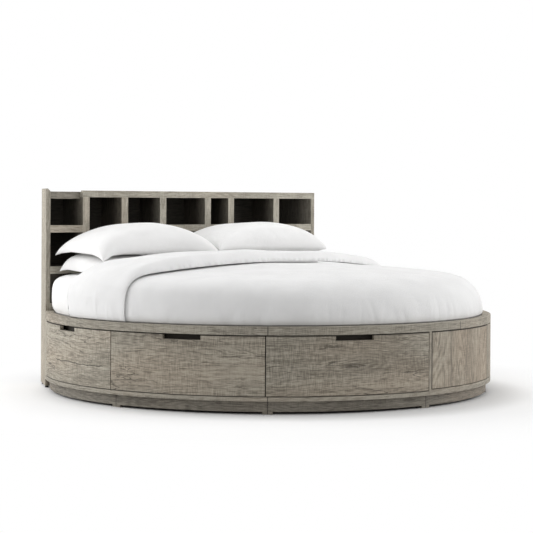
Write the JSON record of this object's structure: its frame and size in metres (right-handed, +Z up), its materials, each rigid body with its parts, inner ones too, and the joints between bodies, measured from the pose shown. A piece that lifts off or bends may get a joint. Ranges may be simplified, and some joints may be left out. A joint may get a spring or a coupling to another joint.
{
  "type": "round storage bed with bookcase headboard",
  "caption": "Round platform bed with curved drawers, inset panels, a bookcase headboard with splayed sides, a round mattress, a turned-back duvet and stacked pillows.",
  "frame": {"origin": "on the floor under the middle of the overall box", "axes": "+Z up, -Y towards the foot of the bed, +Y towards the bookcase, +X towards the side with the inset panels"},
  "size_m": [2.44, 2.149, 1.092],
  "materials": {
    "weathered_oak": "matte, sawn and greyed",
    "dark_oak": "matte, dark stained",
    "carcass_board": "satin",
    "slat_pine": "planed",
    "zinc_steel": "zinc plated",
    "glide_plastic": "matte",
    "sheet_cotton": "plain weave",
    "duvet_cotton": "plain weave, soft"
  },
  "bodies": {
    "bed": {"plinth_boards": "dark_oak", "base_boards": "weathered_oak", "bay_sides_a": "carcass_board", "bay_sides_b": "carcass_board", "bay_sides_c": "carcass_board", "bay_backs": "carcass_board", "divider_boards": "carcass_board", "stile_boards": "weathered_oak", "end_fillers": "weathered_oak", "deck_rails": "carcass_board", "rim_segments": "weathered_oak", "inset_panel_1": "weathered_oak", "inset_panel_2": "weathered_oak", "inset_panel_3": "weathered_oak", "inset_panel_4": "weathered_oak", "panel_kerbs": "weathered_oak", "panel_battens": "carcass_board", "head_rail": "carcass_board", "slats": "slat_pine", "bearers": "slat_pine", "support_legs": "slat_pine", "cabinet_runners": "zinc_steel", "case_side_left": "weathered_oak", "case_side_right": "weathered_oak", "case_top": "weathered_oak", "case_end_top": "weathered_oak", "case_uprights": "weathered_oak", "case_upper_shelves": "weathered_oak", "case_middle_shelves": "weathered_oak", "case_bottom": "weathered_oak", "case_lower_panels": "dark_oak", "case_back": "dark_oak", "case_apron": "carcass_board", "case_supports": "carcass_board", "case_glides": "glide_plastic", "head_bolts": "zinc_steel", "head_nuts": "zinc_steel", "mattress": "sheet_cotton", "duvet": "duvet_cotton", "duvet_fold": "duvet_cotton", "pillow_left_lower": "sheet_cotton", "pillow_left_upper": "sheet_cotton", "pillow_right_lower": "sheet_cotton", "pillow_right_upper": "sheet_cotton"},
    "drawer_a": {"drawer_a_front": "weathered_oak", "drawer_a_sides": "carcass_board", "drawer_a_back": "carcass_board", "drawer_a_bottom": "carcass_board", "drawer_a_runners": "zinc_steel"},
    "drawer_b": {"drawer_b_front": "weathered_oak", "drawer_b_sides": "carcass_board", "drawer_b_back": "carcass_board", "drawer_b_bottom": "carcass_board", "drawer_b_runners": "zinc_steel"},
    "drawer_c": {"drawer_c_front": "weathered_oak", "drawer_c_sides": "carcass_board", "drawer_c_back": "carcass_board", "drawer_c_bottom": "carcass_board", "drawer_c_runners": "zinc_steel"}
  },
  "joints": [
    {"name": "drawer_a_slide", "type": "slide", "parent": "bed", "child": "drawer_a", "axis": [-0.9888, 0.1495, 0], "range_m": [0, 0.3]},
    {"name": "drawer_b_slide", "type": "slide", "parent": "bed", "child": "drawer_b", "axis": [-0.8716, -0.4901, 0], "range_m": [0, 0.3]},
    {"name": "drawer_c_slide", "type": "slide", "parent": "bed", "child": "drawer_c", "axis": [-0.3443, -0.9389, 0], "range_m": [0, 0.3]}
  ]
}
